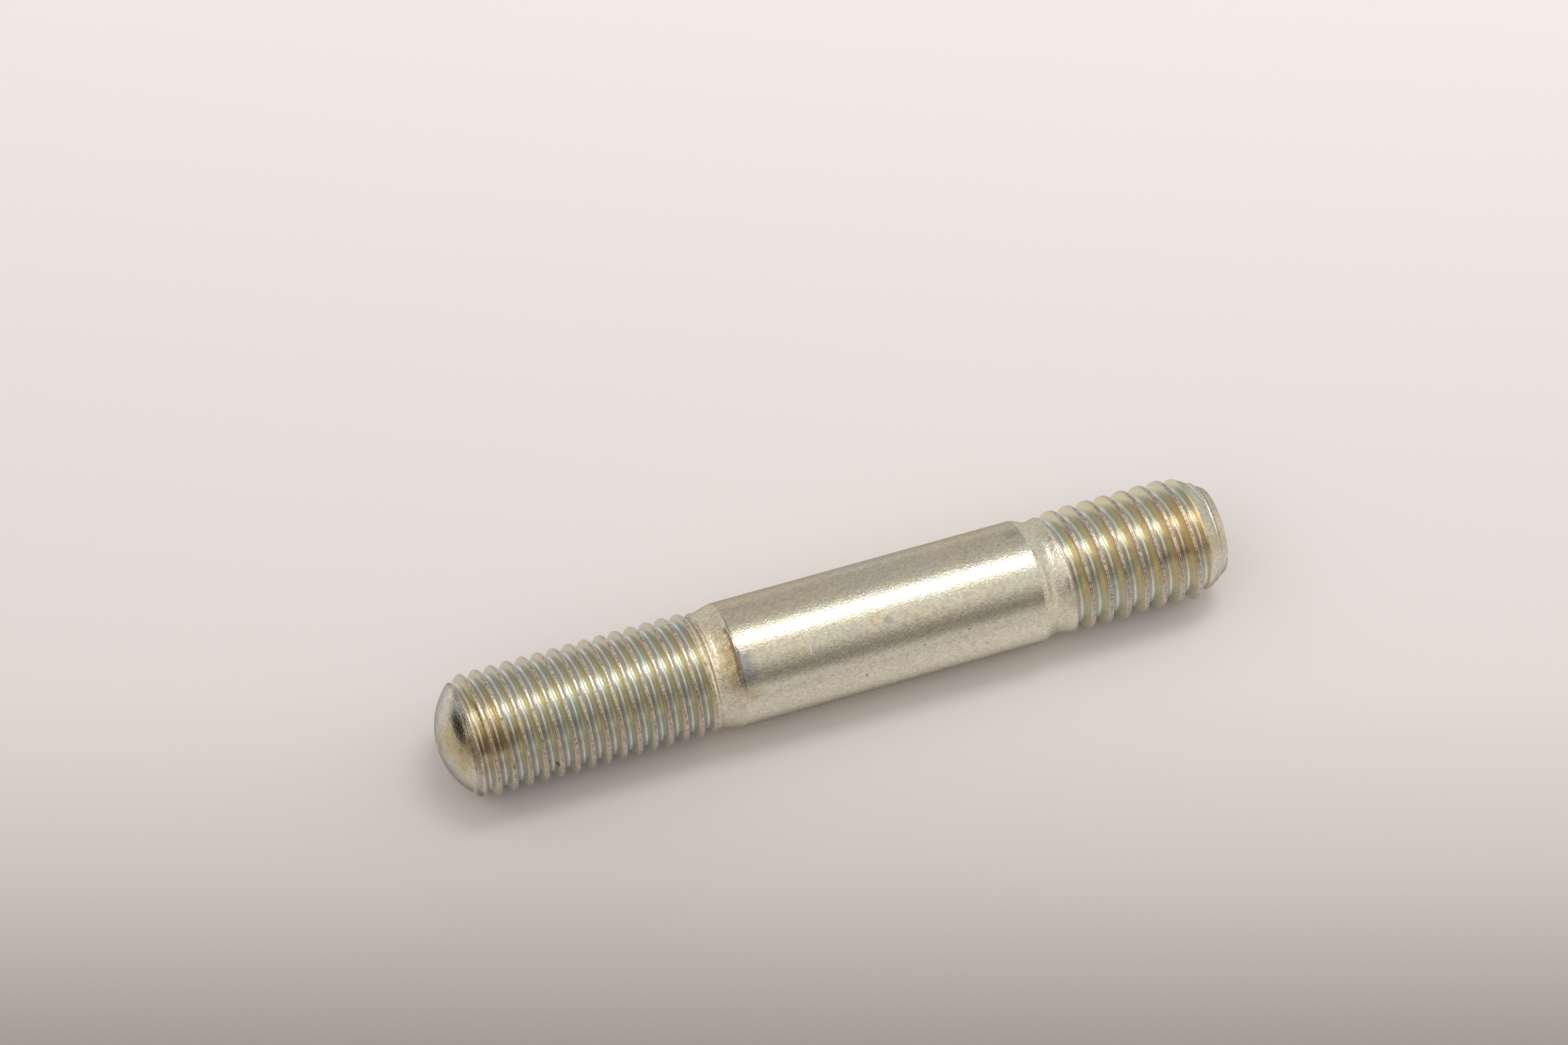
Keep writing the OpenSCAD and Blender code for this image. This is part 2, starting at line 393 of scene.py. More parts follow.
for ring in RINGS:
    bmesh.ops.bisect_plane(bar, geom=bar.verts[:] + bar.edges[:] + bar.faces[:], dist=1e-5,
                           plane_co=(0, 0, ring), plane_no=(0, 0, 1),
                           clear_inner=ring == RIM, clear_outer=ring == CROWN)
    on_ring = [v for v in bar.verts if abs(v.co.z - ring) < 1e-4]
    proper, odd = {}, []
    for v in on_ring:
        step = turns_round(v) * STEPS
        if abs(step - round(step)) < 0.01:
            proper[round(step) % STEPS] = v
        else:
            odd.append(v)
    bmesh.ops.weld_verts(bar, targetmap={v: proper[round(turns_round(v) * STEPS) % STEPS] for v in odd})
print("after the cuts:", len(bar.verts), "points,", len(bar.faces), "faces")

# %% [markdown]
# ## The outline
# Without its grooves the stud is a turned bar, so one half outline gives its radius at every height.
# Rolling lifts the crests out of the bar, so near both necks they arrive gradually: they settle into the
# neck instead of ending in a step.

# %% Outline of the bar before its grooves
def settle(t):
    """From 0 to 1, arriving level."""
    return 1 - (1 - t) ** 2


def outline():
    """Heights and radii from the end face up to the top of the dome."""
    steps = np.linspace(0, 1, 25)
    top_angle = math.asin(FINE_NECK_R / DOME_R)
    pairs = [(0, END_FACE_R), (LEAD_IN_TOP, COARSE_CREST_R)]
    pairs += [(COARSE_NECK_LOW - (COARSE_NECK_LOW - COARSE_FADE_FROM) * t,
               COARSE_NECK_R + (COARSE_CREST_R - COARSE_NECK_R) * settle(t)) for t in steps[::-1]]
    pairs += [(COARSE_NECK_HIGH + (SHANK_LOW - COARSE_NECK_HIGH) * t,
               COARSE_NECK_R + (SHANK_R - COARSE_NECK_R) * (1 - math.cos(math.pi * t)) / 2) for t in steps]
    pairs += [(SHANK_HIGH, SHANK_R), (FINE_NECK_LOW, FINE_NECK_R)]
    pairs += [(FINE_NECK_HIGH + (FINE_FADE_TO - FINE_NECK_HIGH) * t,
               FINE_NECK_R + (FINE_CREST_R - FINE_NECK_R) * settle(t)) for t in steps]
    pairs += [(DOME_FALL_FROM, FINE_CREST_R)]
    pairs += [(DOME_CENTRE + DOME_R * math.cos(top_angle * (1 - t)), DOME_R * math.sin(top_angle * (1 - t)))
              for t in steps]
    return np.array(pairs).T


outline_heights, outline_radii = outline()
print("widest radius", outline_radii.max(), "mm, top", outline_heights.max(), "mm")


# %% [markdown]
# ## The grooves
# The dies press a V with flanks 60 degrees apart and a rounded root. Each point asks how far it is from
# the nearest turn of the groove, and that gives the groove's radius there. Where a groove ends it climbs
# out of the metal over part of a turn. Where it meets the outline the lower of the two wins, with a small
# rounding.

# %% Grooves
ROOT_ARC = 0.1443                           # radius of the root's rounding, in pitches
ROOT_HALF = 1 / 12                          # half the width of the flat that the arc replaces, in pitches
NO_GROOVE = 99                              # a radius out in the air


def groove_radius(turn, height, root_r, pitch, groove_at, starts, ends, fade, climb):
    """Radius of the groove's surface at each point, out in the air where there is no groove."""
    phase = (height - groove_at) / pitch - turn
    number = np.round(phase)
    off = np.abs(phase - number) * pitch
    arc = ROOT_ARC * pitch
    flank = root_r + (off - ROOT_HALF * pitch) / FLANK
    tangent = arc * SHARP
    rounded = root_r + (tangent - ROOT_HALF * pitch) / FLANK + arc / 2 - np.sqrt(
        np.clip(arc ** 2 - np.minimum(off, tangent) ** 2, 0, None))
    radius = np.where(off < tangent, rounded, flank)
    turns_along = number + turn
    lift = climb * np.clip(1 - np.minimum(turns_along - starts, ends - turns_along) / fade, 0, 1) ** 2
    return np.where((turns_along > ends) | (turns_along < starts), NO_GROOVE, radius + lift)


def soft_min(a, b, width):
    """The lower of two surfaces, rounded over where they cross."""
    near_by = np.clip(width - np.abs(a - b), 0, None) / width
    return np.minimum(a, b) - near_by ** 2 * width / 4


def bumpy(points, size, seed):
    """Smooth noise from -1 to 1 at each point, with lumps of about that size in millimetres."""
    shift = Vector((seed * 17.3, seed * 5.1, seed * 9.7))
    return np.array([noise.noise(Vector(p) / size + shift) for p in points])


print("root arcs", round(ROOT_ARC * COARSE, 3), "and", round(ROOT_ARC * FINE, 3), "mm")

# %% [markdown]
# ## Pressing the true shape
# Now every point slides straight out or in to its true radius. Three small things that only a real part
# has come with it. The lead-in cone has a narrow raised ring where the first turn was pressed, with a
# slight swell above it. And each crest keeps a fine seam, where the metal that was pushed up from both
# sides closed. Both are uneven along their length, so they follow slow noise.

# %% Measure every point
MID_SHANK = 28                              # height that parts the coarse end from the fine end
points = np.array([v.co for v in bar.verts])
around, heights = np.arctan2(points[:, 1], points[:, 0]) / (2 * math.pi), points[:, 2]
outward = np.column_stack([np.cos(around * 2 * math.pi), np.sin(around * 2 * math.pi)])
coarse_side = heights < MID_SHANK
lathe = np.interp(heights, outline_heights, outline_radii)
lumps = bumpy(np.column_stack([outward * lathe[:, None], heights]), 1.6, 1)
print("points:", len(points), "of which at the coarse end", int(coarse_side.sum()))

# %% Press the grooves
FADE = 0.7                                  # turns over which a groove climbs out of the metal
COARSE_END, FINE_START = 0.57, -0.59        # turn at which each groove ends beside the shank
COARSE_CLIMB, FINE_CLIMB = 0.9, 0.73        # how far each groove climbs there
COARSE_ROUNDING, FINE_ROUNDING = 0.14, 0.30
ENDLESS = 99
coarse = groove_radius(around, heights, COARSE_ROOT_R, COARSE, COARSE_GROOVE_AT, -ENDLESS, COARSE_END,
                       FADE, COARSE_CLIMB)
fine = groove_radius(around, heights, FINE_ROOT_R, FINE, FINE_GROOVE_AT, FINE_START, ENDLESS,
                     FADE, FINE_CLIMB)
groove = np.where(coarse_side, coarse, fine)
ridge = 0.09 * np.exp(-((heights - RIDGE) / 0.05) ** 2) * (1 + 0.4 * lumps)
swell = 0.05 * np.clip(np.sin(np.clip((heights - RIDGE) / 0.9, 0, 1) * math.pi), 0, 1)
lathe = lathe + ridge + swell
rounding = np.where(coarse_side, COARSE_ROUNDING, FINE_ROUNDING)
radii = np.where(np.abs(lathe - groove) < rounding, soft_min(lathe, groove, rounding),
                 np.minimum(lathe, groove))
print("grooves down to", round(float(radii[heights > LEAD_IN_TOP].min()), 3), "mm")

# %% Press the seam along the crests
SEAM_DEPTH, SEAM_HALF = 0.05, 0.05
FULL_CREST = 4.62                           # the seam fades where the crests have sunk below this radius
pitches = np.where(coarse_side, COARSE, FINE)
phases = (heights - np.where(coarse_side, COARSE_GROOVE_AT, FINE_GROOVE_AT)) / pitches - around
from_crest = (0.5 - np.abs(phases - np.round(phases))) * pitches
threaded = (groove < NO_GROOVE) * (lathe > FULL_CREST) * (heights > LEAD_IN_TOP)
depth = SEAM_DEPTH * np.exp(-(from_crest / SEAM_HALF) ** 2) * np.clip(0.7 + 0.7 * lumps, 0, 1) * threaded
radii = np.minimum(radii - depth, SHANK_R)
for v, (x, y), r in zip(bar.verts, outward, radii):
    v.co.x, v.co.y = x * r, y * r
print("pressed: radii", round(radii.min(), 3), "to", round(radii.max(), 3), "mm")

# %% [markdown]
# ## The two ends
# The dome and the flat face have no thread, so each is made from the last ring: extrude it, pull the new
# ring in along the arc, and close the last one to a point. The first of the flat face's rings breaks its
# sharp edge. The normals are recalculated last, when nothing is left to merge.

# %% Close the ends
def grow(rings, points):
    """Extrudes a loop of edges through (radius, height) rings and closes the last one to a point."""
    for radius, height in rings:
        grown = bmesh.ops.extrude_edge_only(bar, edges=points)["geom"]
        points = [e for e in grown if isinstance(e, bmesh.types.BMEdge)]
        for v in (v for v in grown if isinstance(v, bmesh.types.BMVert)):
            flat = Vector((v.co.x, v.co.y)).normalized() * radius
            v.co = (flat.x, flat.y, height)
    bmesh.ops.pointmerge(bar, verts=list({v for e in points for v in e.verts}),
                         merge_co=(0, 0, rings[-1][1]))


def rim_edges(height):
    """The open edges at one height."""
    return [e for e in bar.edges if e.is_boundary and abs(e.verts[0].co.z - height) < 1e-3]


DOME_RINGS = 14
FLAT_RINGS = [(3.50, 0.012), (3.46, 0), (3.30, 0), (2.6, 0), (1.8, 0), (1.0, 0), (0.3, 0), (0.0, 0)]
crown_angle = math.asin(np.interp(CROWN, outline_heights, outline_radii) / DOME_R)
grow([(DOME_R * math.sin(a), DOME_CENTRE + DOME_R * math.cos(a))
      for a in np.linspace(crown_angle, 0.0, DOME_RINGS + 1)[1:]], rim_edges(CROWN))
grow(FLAT_RINGS, rim_edges(RIM))
bmesh.ops.dissolve_degenerate(bar, dist=1e-6, edges=bar.edges)
bmesh.ops.recalc_face_normals(bar, faces=bar.faces)
bmesh.ops.scale(bar, vec=(MM, MM, MM), verts=bar.verts)
print("open edges:", sum(e.is_boundary for e in bar.edges), "triangles:",
      sum(len(f.verts) - 2 for f in bar.faces), "volume", round(bar.calc_volume() / MM ** 3, 1), "mm3")

# %% [markdown]
# ## One object
# Nothing on a stud moves and nothing comes off it, so the whole mesh is one object. It rides on the root
# body and takes the place of the measured solid.

# %% Make it one object
stud = bpy.data.objects.new("rolled_stud", bpy.data.meshes.new("rolled_stud"))
for face in bar.faces:
    face.smooth = True
bar.to_mesh(stud.data)
bar.free()
bpy.context.scene.collection.objects.link(stud)
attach(stud, "root")
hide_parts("stud")
print("one object:", len(stud.data.vertices), "points,", len(stud.data.polygons), "faces")

# %% [markdown]
# ## Zinc plating
# The stud is steel under a few thousandths of a millimetre of zinc, sealed with a thin clear film. The
# film is about as thick as a wave of light is long, so it colours the metal like oil on water: gold,
# green, pink and blue-grey, changing with its thickness. Every zone below is the same metal with its own
# colours, so the effects they share are node groups, built once and placed in each material with its own
# values. The first one says where a point lies across its turn of thread.

# %% Group: place on the thread
def new_group(name, inputs, outputs):
    """An empty shader node group with float inputs (name, default) and outputs (name, socket type)."""
    group = bpy.data.node_groups.new(name, "ShaderNodeTree")
    for label, value in inputs:
        socket = group.interface.new_socket(label, in_out="INPUT", socket_type="NodeSocketFloat")
        socket.default_value = value
    for label, kind in outputs:
        group.interface.new_socket(label, in_out="OUTPUT", socket_type=kind)
    return group, group.nodes.new("NodeGroupInput"), group.nodes.new("NodeGroupOutput")


def where(tree):
    """Millimetres up the axis, and how far round from +X in turns."""
    place = node(tree, "ShaderNodeTexCoord").outputs["Object"]
    parts = node(tree, "ShaderNodeSeparateXYZ", {0: place})
    around = math_of(tree, "ARCTAN2", parts.outputs["Y"], parts.outputs["X"])
    return (place, math_of(tree, "MULTIPLY", parts.outputs["Z"], 1 / MM),
            math_of(tree, "MULTIPLY", around, 1 / (2 * math.pi)))


thread_place, given, out = new_group("thread_place", [("Pitch", COARSE), ("Groove At", COARSE_GROOVE_AT)],
                                     [("Phase", "NodeSocketFloat"), ("Crest", "NodeSocketFloat")])
_, up_axis, round_axis = where(thread_place)
turns = math_of(thread_place, "SUBTRACT", up_axis, given.outputs["Groove At"])
turns = math_of(thread_place, "DIVIDE", turns, given.outputs["Pitch"])
turns = math_of(thread_place, "SUBTRACT", turns, round_axis)
phase_socket = math_of(thread_place, "FRACT", math_of(thread_place, "ADD", turns, 100.5))
off_root = math_of(thread_place, "ABSOLUTE", math_of(thread_place, "SUBTRACT", phase_socket, 0.5))
thread_place.links.new(phase_socket, out.inputs["Phase"])
thread_place.links.new(smooth_step(thread_place, off_root, 0.395, 0.43), out.inputs["Crest"])
print("place on the thread:", len(thread_place.nodes), "nodes")


# %% [markdown]
# Barrel plating leaves the zinc with a fine satin grain. Up close it is made of lumps a tenth or two of a
# millimetre across, and on a drawn bar they run a little along the axis. The grain group gives that as a
# height for the bump, a few tiny pits, and a speckle that makes some grains darker than others.

# %% Group: fine grain
def noise_at(tree, place, size, detail=2.0, rough=0.5, stretch=None):
    """Noise with lumps about size millimetres across, longer along the axis when stretched."""
    if stretch:
        place = node(tree, "ShaderNodeVectorMath", {0: place, 1: (1, 1, 1 / stretch)},
                     operation="MULTIPLY").outputs["Vector"]
    return node(tree, "ShaderNodeTexNoise", {"Vector": place, "Scale": 1 / (size * MM), "Detail": detail,
                                             "Roughness": rough}).outputs["Fac"]


fine_grain, _, out = new_group("fine_grain", [], [
    ("Grain", "NodeSocketFloat"), ("Pits", "NodeSocketFloat"), ("Speckle", "NodeSocketFloat")])
place, _, _ = where(fine_grain)
lumpy = noise_at(fine_grain, place, 0.16, 1.0, 0.5)
drawn = noise_at(fine_grain, place, 0.10, 1.0, 0.5, stretch=2.2)
grain = math_of(fine_grain, "MULTIPLY_ADD", drawn, 0.35, math_of(fine_grain, "MULTIPLY", lumpy, 0.65))
pits = smooth_step(fine_grain, noise_at(fine_grain, place, 0.3, 1.0), 0.73, 0.78)
speckle = noise_at(fine_grain, place, 0.21, 2.0, 0.7, stretch=1.3)
mottle = noise_at(fine_grain, place, 0.6, 3.0, 0.6)
speckle = math_of(fine_grain, "MULTIPLY_ADD", mottle, 0.25, math_of(fine_grain, "MULTIPLY", speckle, 0.75))
fine_grain.links.new(grain, out.inputs["Grain"])
fine_grain.links.new(pits, out.inputs["Pits"])
fine_grain.links.new(math_of(fine_grain, "MULTIPLY_ADD", speckle, 2.0, -1.0), out.inputs["Speckle"])
print("fine grain:", len(fine_grain.nodes), "nodes")

# %% [markdown]
# The film drains and dries unevenly, so its thickness, and with it its colour, drifts over some
# millimetres with smaller clouds inside. The cloud group gives a tint that is close to white and is
# multiplied onto the zone's own colour.

# %% Group: cloudy film
cloudy_film, given, out = new_group("cloudy_film", [("Strength", 1.0)], [("Tint", "NodeSocketColor")])
place, _, _ = where(cloudy_film)
drift = noise_at(cloudy_film, place, 5.0, 3.0, 0.55)
patch = noise_at(cloudy_film, place, 1.0, 4.0, 0.65)
film = ramp(cloudy_film, math_of(cloudy_film, "MULTIPLY_ADD", patch, 0.45, math_of(
    cloudy_film, "MULTIPLY", drift, 0.55)), [
        (0.32, (1.06, 0.94, 0.93)), (0.44, (1.04, 0.98, 0.86)), (0.52, (0.98, 1.0, 0.96)),
        (0.60, (0.93, 1.0, 1.05)), (0.70, (1.02, 1.02, 0.84))])
plain = blend_colours(cloudy_film, given.outputs["Strength"], (1, 1, 1), film)
cloudy_film.links.new(plain, out.inputs["Tint"])
print("cloudy film:", len(cloudy_film.nodes), "nodes")

# %% [markdown]
# Handling, drying drops and the dies leave marks at particular places. This group is a soft ellipse on the
# unrolled surface, at a height and a turn round the axis, with a ragged edge. A wandering one sways along
# the axis, for marks that follow a corner. One group serves for a speck, for a smear and for a band along
# the bar. It also lays the bands of painted reflection, painted shade and painted highlight that stand for
# light on the metal.

# %% Group: a mark or a band of painted light at one place
stain_and_painted_light, given, out = new_group("stain_and_painted_light", [
    ("Height", 20.0), ("Turn", -0.25), ("Half Length", 1.0), ("Half Width", 1.0), ("Ragged", 0.3),
    ("Edge", 0.4), ("Wander", 0.0)], [("Mask", "NodeSocketFloat")])
place, up_axis, round_axis = where(stain_and_painted_light)
sway = math_of(stain_and_painted_light, "SUBTRACT", noise_at(stain_and_painted_light, place, 1.1, 2.0, 0.6), 0.5)
swayed = math_of(stain_and_painted_light, "MULTIPLY_ADD", sway, given.outputs["Wander"], up_axis)
along_off = math_of(stain_and_painted_light, "DIVIDE", math_of(stain_and_painted_light, "SUBTRACT", swayed, given.outputs["Height"]),
                    given.outputs["Half Length"])
round_off = math_of(stain_and_painted_light, "MULTIPLY", math_of(stain_and_painted_light, "SUBTRACT", round_axis, given.outputs["Turn"]),
                    2 * math.pi * SHANK_R)
round_off = math_of(stain_and_painted_light, "DIVIDE", round_off, given.outputs["Half Width"])
off = math_of(stain_and_painted_light, "SQRT", math_of(stain_and_painted_light, "ADD", math_of(stain_and_painted_light, "MULTIPLY", along_off, along_off),
                                     math_of(stain_and_painted_light, "MULTIPLY", round_off, round_off)))
wobble = math_of(stain_and_painted_light, "SUBTRACT", noise_at(stain_and_painted_light, place, 0.7, 3.0, 0.6), 0.5)
off = math_of(stain_and_painted_light, "MULTIPLY_ADD", math_of(stain_and_painted_light, "MULTIPLY", wobble, given.outputs["Ragged"]), 4.0, off)
inner = math_of(stain_and_painted_light, "SUBTRACT", 1.0, given.outputs["Edge"])
outer = math_of(stain_and_painted_light, "ADD", 1.0, given.outputs["Edge"])
mask = node(stain_and_painted_light, "ShaderNodeMapRange", {"Value": off, "From Min": inner, "From Max": outer, "To Min": 1.0,
                                          "To Max": 0.0}, interpolation_type="SMOOTHSTEP").outputs["Result"]
stain_and_painted_light.links.new(mask, out.inputs["Mask"])
print("groups:", [group.name for group in bpy.data.node_groups])


# %% [markdown]
# Each zone's material starts from a colour, lets the film's clouds tint it, lays its stains and its bands
# of painted light and shade over that, and ends in one Principled shader whose bump comes from the grain.

# %% One plated finish
def use(tree, group, **inputs):
    """Places a node group with its own values."""
    made = tree.nodes.new("ShaderNodeGroup")
    made.node_tree = group
    for name, value in inputs.items():
        socket = made.inputs[name.replace("_", " ")]
        if isinstance(value, bpy.types.NodeSocket):
            tree.links.new(value, socket)
        else:
            socket.default_value = value
    return made


EDGE_TINT = (0.55, 0.54, 0.52, 1)           # the rough zinc darkens where it is seen nearly edge on
MARK_AND_LIGHT_INPUTS = ("Height", "Turn", "Half_Length", "Half_Width", "Ragged", "Edge", "Wander")
PIT_COLOUR, PIT_STRENGTH = (0.16, 0.13, 0.10), 0.35
GRAIN_ROUGHNESS = 0.12                      # how much rougher the high grains are than the low ones
CREST_SPECKLE = 1.3                         # crests are scuffed, so their grains differ more


def plated(name, colour_of, stains_and_painted_light, roughness, metal, cloud, bump, speckle, crest_rough=0.0,
           edge=EDGE_TINT):
    """A zinc finish. colour_of(tree) gives its colour and crest mask. Each listed entry, real mark and band
    of painted light and shade alike, is (place, colour, strength). Its place is (height, turn, half length,
    half width, ragged, edge, wander), in millimetres and turns."""
    made = bpy.data.materials.new(name)
    made.use_nodes = True
    tree = made.node_tree
    tree.nodes.clear()
    colour, crest = colour_of(tree)
    tint = use(tree, cloudy_film, Strength=cloud).outputs["Tint"]
    colour = blend_colours(tree, 1.0, colour, tint, "MULTIPLY")
    grain = use(tree, fine_grain)
    for place, mark_and_light_colour, strength in stains_and_painted_light:
        mask = use(tree, stain_and_painted_light, **dict(zip(MARK_AND_LIGHT_INPUTS, place))).outputs["Mask"]
        colour = blend_colours(tree, math_of(tree, "MULTIPLY", mask, strength), colour, mark_and_light_colour)
    colour = blend_colours(tree, math_of(tree, "MULTIPLY", grain.outputs["Pits"], PIT_STRENGTH), colour,
                           PIT_COLOUR)
    uneven = math_of(tree, "MULTIPLY_ADD", crest, CREST_SPECKLE, speckle)
    uneven = math_of(tree, "MULTIPLY_ADD", grain.outputs["Speckle"], uneven, 1.0)
    colour = blend_colours(tree, 1.0, colour, uneven, "MULTIPLY")
    rough = math_of(tree, "MULTIPLY_ADD", grain.outputs["Grain"], GRAIN_ROUGHNESS,
                    roughness - GRAIN_ROUGHNESS / 2)
    rough = math_of(tree, "MULTIPLY_ADD", crest, crest_rough, rough)
    dents = node(tree, "ShaderNodeBump", {"Height": grain.outputs["Grain"], "Strength": 1.0,
                                          "Distance": bump * MM})
    zinc = node(tree, "ShaderNodeBsdfPrincipled",
                {"Base Color": colour, "Roughness": rough, "Metallic": metal, "Specular Tint": edge,
                 "Normal": dents.outputs["Normal"]})
    node(tree, "ShaderNodeOutputMaterial", {"Surface": zinc.outputs[0]})
    print(name, "has", len(stains_and_painted_light), "stains and", len(tree.nodes), "nodes")
    return made


def one_colour(*colour):
    """The same colour everywhere, with no crests."""
    return lambda tree: (colour, 0.0)


# %% [markdown]
# ## Colours across a thread
# On a thread the film's colour changes most across each turn, because it drains off the crest and gathers
# in the groove. A ramp over the place in the turn does this: scuffed crests with a seam, a dark line beside
# them on the side that faces the domed end, which is a painted reflection, then the wide flank, the root
# and the narrow flank.
# The thread has two such ramps: a warm one along the side that lies towards the light, which is painted
# light, a lit copy of the colours, and a cool one elsewhere.

# %% Colour by place on the thread
LIT_SIDE_BAND = (30.0, -0.235, 999.0, 3.3, 0.12, 0.5)      # painted light: the band towards the light, a place as for the marks, endless along the axis


def by_phase(pitch, groove_at, cool, warm):
    """Colours across one turn of thread, crest to crest: the lit copy along one band, which is painted
    light, and the cool colours elsewhere.
    """
    def make(tree):
        place = use(tree, thread_place, Pitch=pitch, Groove_At=groove_at)
        lit_side_share = use(tree, stain_and_painted_light, **dict(zip(MARK_AND_LIGHT_INPUTS, LIT_SIDE_BAND))).outputs["Mask"]
        phase = place.outputs["Phase"]
        return (blend_colours(tree, lit_side_share, ramp(tree, phase, cool), ramp(tree, phase, warm)),
                place.outputs["Crest"])
    return make


def across_thread(seam, crest, half_crest, reflection_line, wide, root, narrow):
    """Ramp stops from crest to crest: crest and seam, a dark stripe of painted reflection on one side, then
    three colours a flank.
    """
    return [(0.0, seam), (0.025, crest), (half_crest, crest), (half_crest + 0.035, reflection_line),
            (half_crest + 0.06, wide[0]), (0.25, wide[1]), (0.36, wide[2]), (0.5, root), (0.64, narrow[0]),
            (0.75, narrow[1]), (0.88, narrow[2]), (0.94, crest), (0.985, crest), (1.0, seam)]


# %% [markdown]
# ## The shank
# The shank was never rolled, so it keeps the bar's drawn surface under the zinc: satin, greyish straw. Its
# paler underside is a painted reflection of the pale table. Two long bands along it, a darker one and a
# warmer one, are painted reflections of the room. Next to the fine thread's shoulder the film has drained
# to blue-grey against the corner. The rest are small things: two scratches, specks of dirt and spots where
# drops dried. One satin finish with a list of stains and painted bands holds all of it.

# %% Shank finish
# painted reflection of the pale table along the underside
TABLE_REFLECTION = (28.0, -0.39, 99, 2.2, 0.12, 0.35)
BROWN, DARK, WHITE = (0.36, 0.26, 0.18), (0.20, 0.17, 0.14), (0.95, 0.93, 0.88)
ORANGE, BLUE_GREY = (0.62, 0.44, 0.24), (0.32, 0.325, 0.36)
shank_zinc = plated("zinc_on_shank", one_colour(0.62, 0.585, 0.485), [
    (TABLE_REFLECTION, (0.82, 0.80, 0.69), 0.85),
    # painted reflections of the room: a darker band and a warmer band along the whole shank
    ((28.0, -0.292, 99, 0.9, 0.25, 0.6), (0.46, 0.42, 0.34), 0.42),
    ((28.0, -0.09, 99, 1.6, 0.3, 0.6), (0.66, 0.60, 0.50), 0.5),
    ((40.1, -0.262, 0.7, 1.3, 0.4, 0.6, 0.3), BLUE_GREY, 0.75),
    ((40.52, -0.225, 0.12, 2.8, 0.4, 0.7, 0.35), DARK, 0.8),
    ((40.0, -0.338, 0.7, 0.5, 0.5, 0.7), ORANGE, 0.5),
    ((38.0, -0.181, 0.45, 0.25, 0.5, 0.7), ORANGE, 0.4),
    ((28.4, -0.247, 0.34, 0.28, 0.15, 0.5), (0.36, 0.33, 0.31), 0.6),
    ((16.6, -0.102, 0.6, 0.5, 0.4, 0.6), (0.44, 0.38, 0.32), 0.5),
    ((30.82, -0.379, 0.09, 0.12, 0.3, 0.5), BROWN, 0.8),
    ((25.97, -0.334, 0.10, 0.08, 0.3, 0.5), DARK, 0.7),
    ((22.24, -0.325, 0.12, 0.08, 0.3, 0.5), DARK, 0.6),
    ((20.89, -0.383, 0.15, 0.10, 0.3, 0.5), BROWN, 0.6),
    ((18.05, -0.131, 0.09, 0.09, 0.3, 0.5), DARK, 0.7),
    ((16.68, -0.177, 0.08, 0.08, 0.3, 0.5), DARK, 0.7),
    ((34.95, -0.266, 0.05, 0.35, 0.2, 0.5, 0.3), WHITE, 0.5),
    ((22.36, -0.240, 0.05, 0.40, 0.2, 0.5, 0.3), WHITE, 0.5),
], roughness=0.27, metal=0.93, cloud=0.8, bump=0.025, speckle=0.6)

# %% [markdown]
# ## The shoulders and necks
# Beside the shank the bar runs down to the two necks. The dies' ends rubbed here without rolling, so it is
# the roughest part, and its edges hold brown film: a dark line along the corner of the shank, and wandering
# brown lines round the coarse end's shoulder. A pale spot on the cone beside the shank is a painted
# highlight. The underside carries the same painted reflection of the table as the shank.

# %% Shoulder finish
shoulder_zinc = plated("zinc_on_shoulders", one_colour(0.75, 0.71, 0.59), [
    ((14.9, -0.215, 1.3, 3.0, 0.3, 0.6), (0.61, 0.585, 0.49), 0.85),
    ((41.1, -0.235, 0.75, 2.6, 0.4, 0.8), (0.42, 0.32, 0.16), 0.85),
    ((40.70, -0.225, 0.17, 2.6, 0.5, 0.7, 0.5), (0.17, 0.11, 0.07), 0.85),
    # painted highlight: a pale spot on the cone beside the shank
    ((40.66, -0.130, 0.25, 0.6, 0.3, 0.6), (0.90, 0.86, 0.76), 0.6),
    ((42.62, -0.25, 0.07, 9, 0.3, 0.6, 0.1), (0.42, 0.32, 0.24), 0.7),
    ((15.75, -0.20, 0.10, 1.3, 0.4, 0.8, 0.8), BROWN, 0.55),
    ((15.25, -0.27, 0.16, 1.2, 0.5, 0.9, 0.8), BROWN, 0.5),
    ((14.0, -0.15, 0.16, 0.9, 0.5, 0.9, 1.0), BROWN, 0.45),
    ((13.75, -0.285, 0.12, 0.6, 0.5, 0.9, 0.6), DARK, 0.5),
    # painted reflection of the pale table along the underside
    (TABLE_REFLECTION, (0.76, 0.74, 0.63), 0.6),
], roughness=0.33, metal=0.86, cloud=0.8, bump=0.05, speckle=0.7)

# %% [markdown]
# ## The threads
# The dies press their own polish into the steel, so the threads are smoother and brighter than the bar.
# In a groove light bounces from one flank to the other before it leaves, and each bounce deepens the film's
# colour. So the flanks' colours are paler here than they look in the end. The coarse thread is more golden,
# and the fine one greener. Both carry a darker band of painted shade along the axis. Near their free ends
# each has a golden smear of film beside a dark patch of painted shade, and the fine one also has a few
# specks.

# %% Thread finishes
LEAST_LIT = (30.0, -0.258, 999, 0.9, 0.2, 0.6)    # painted shade: a slightly darker band along the axis, where the metal mirrors the least light
LEAST_LIT_SHADE = (0.34, 0.31, 0.23)
WHITE_EDGE = (1.0, 0.97, 1.0, 1)                  # polished zinc stays bright where it is seen edge on
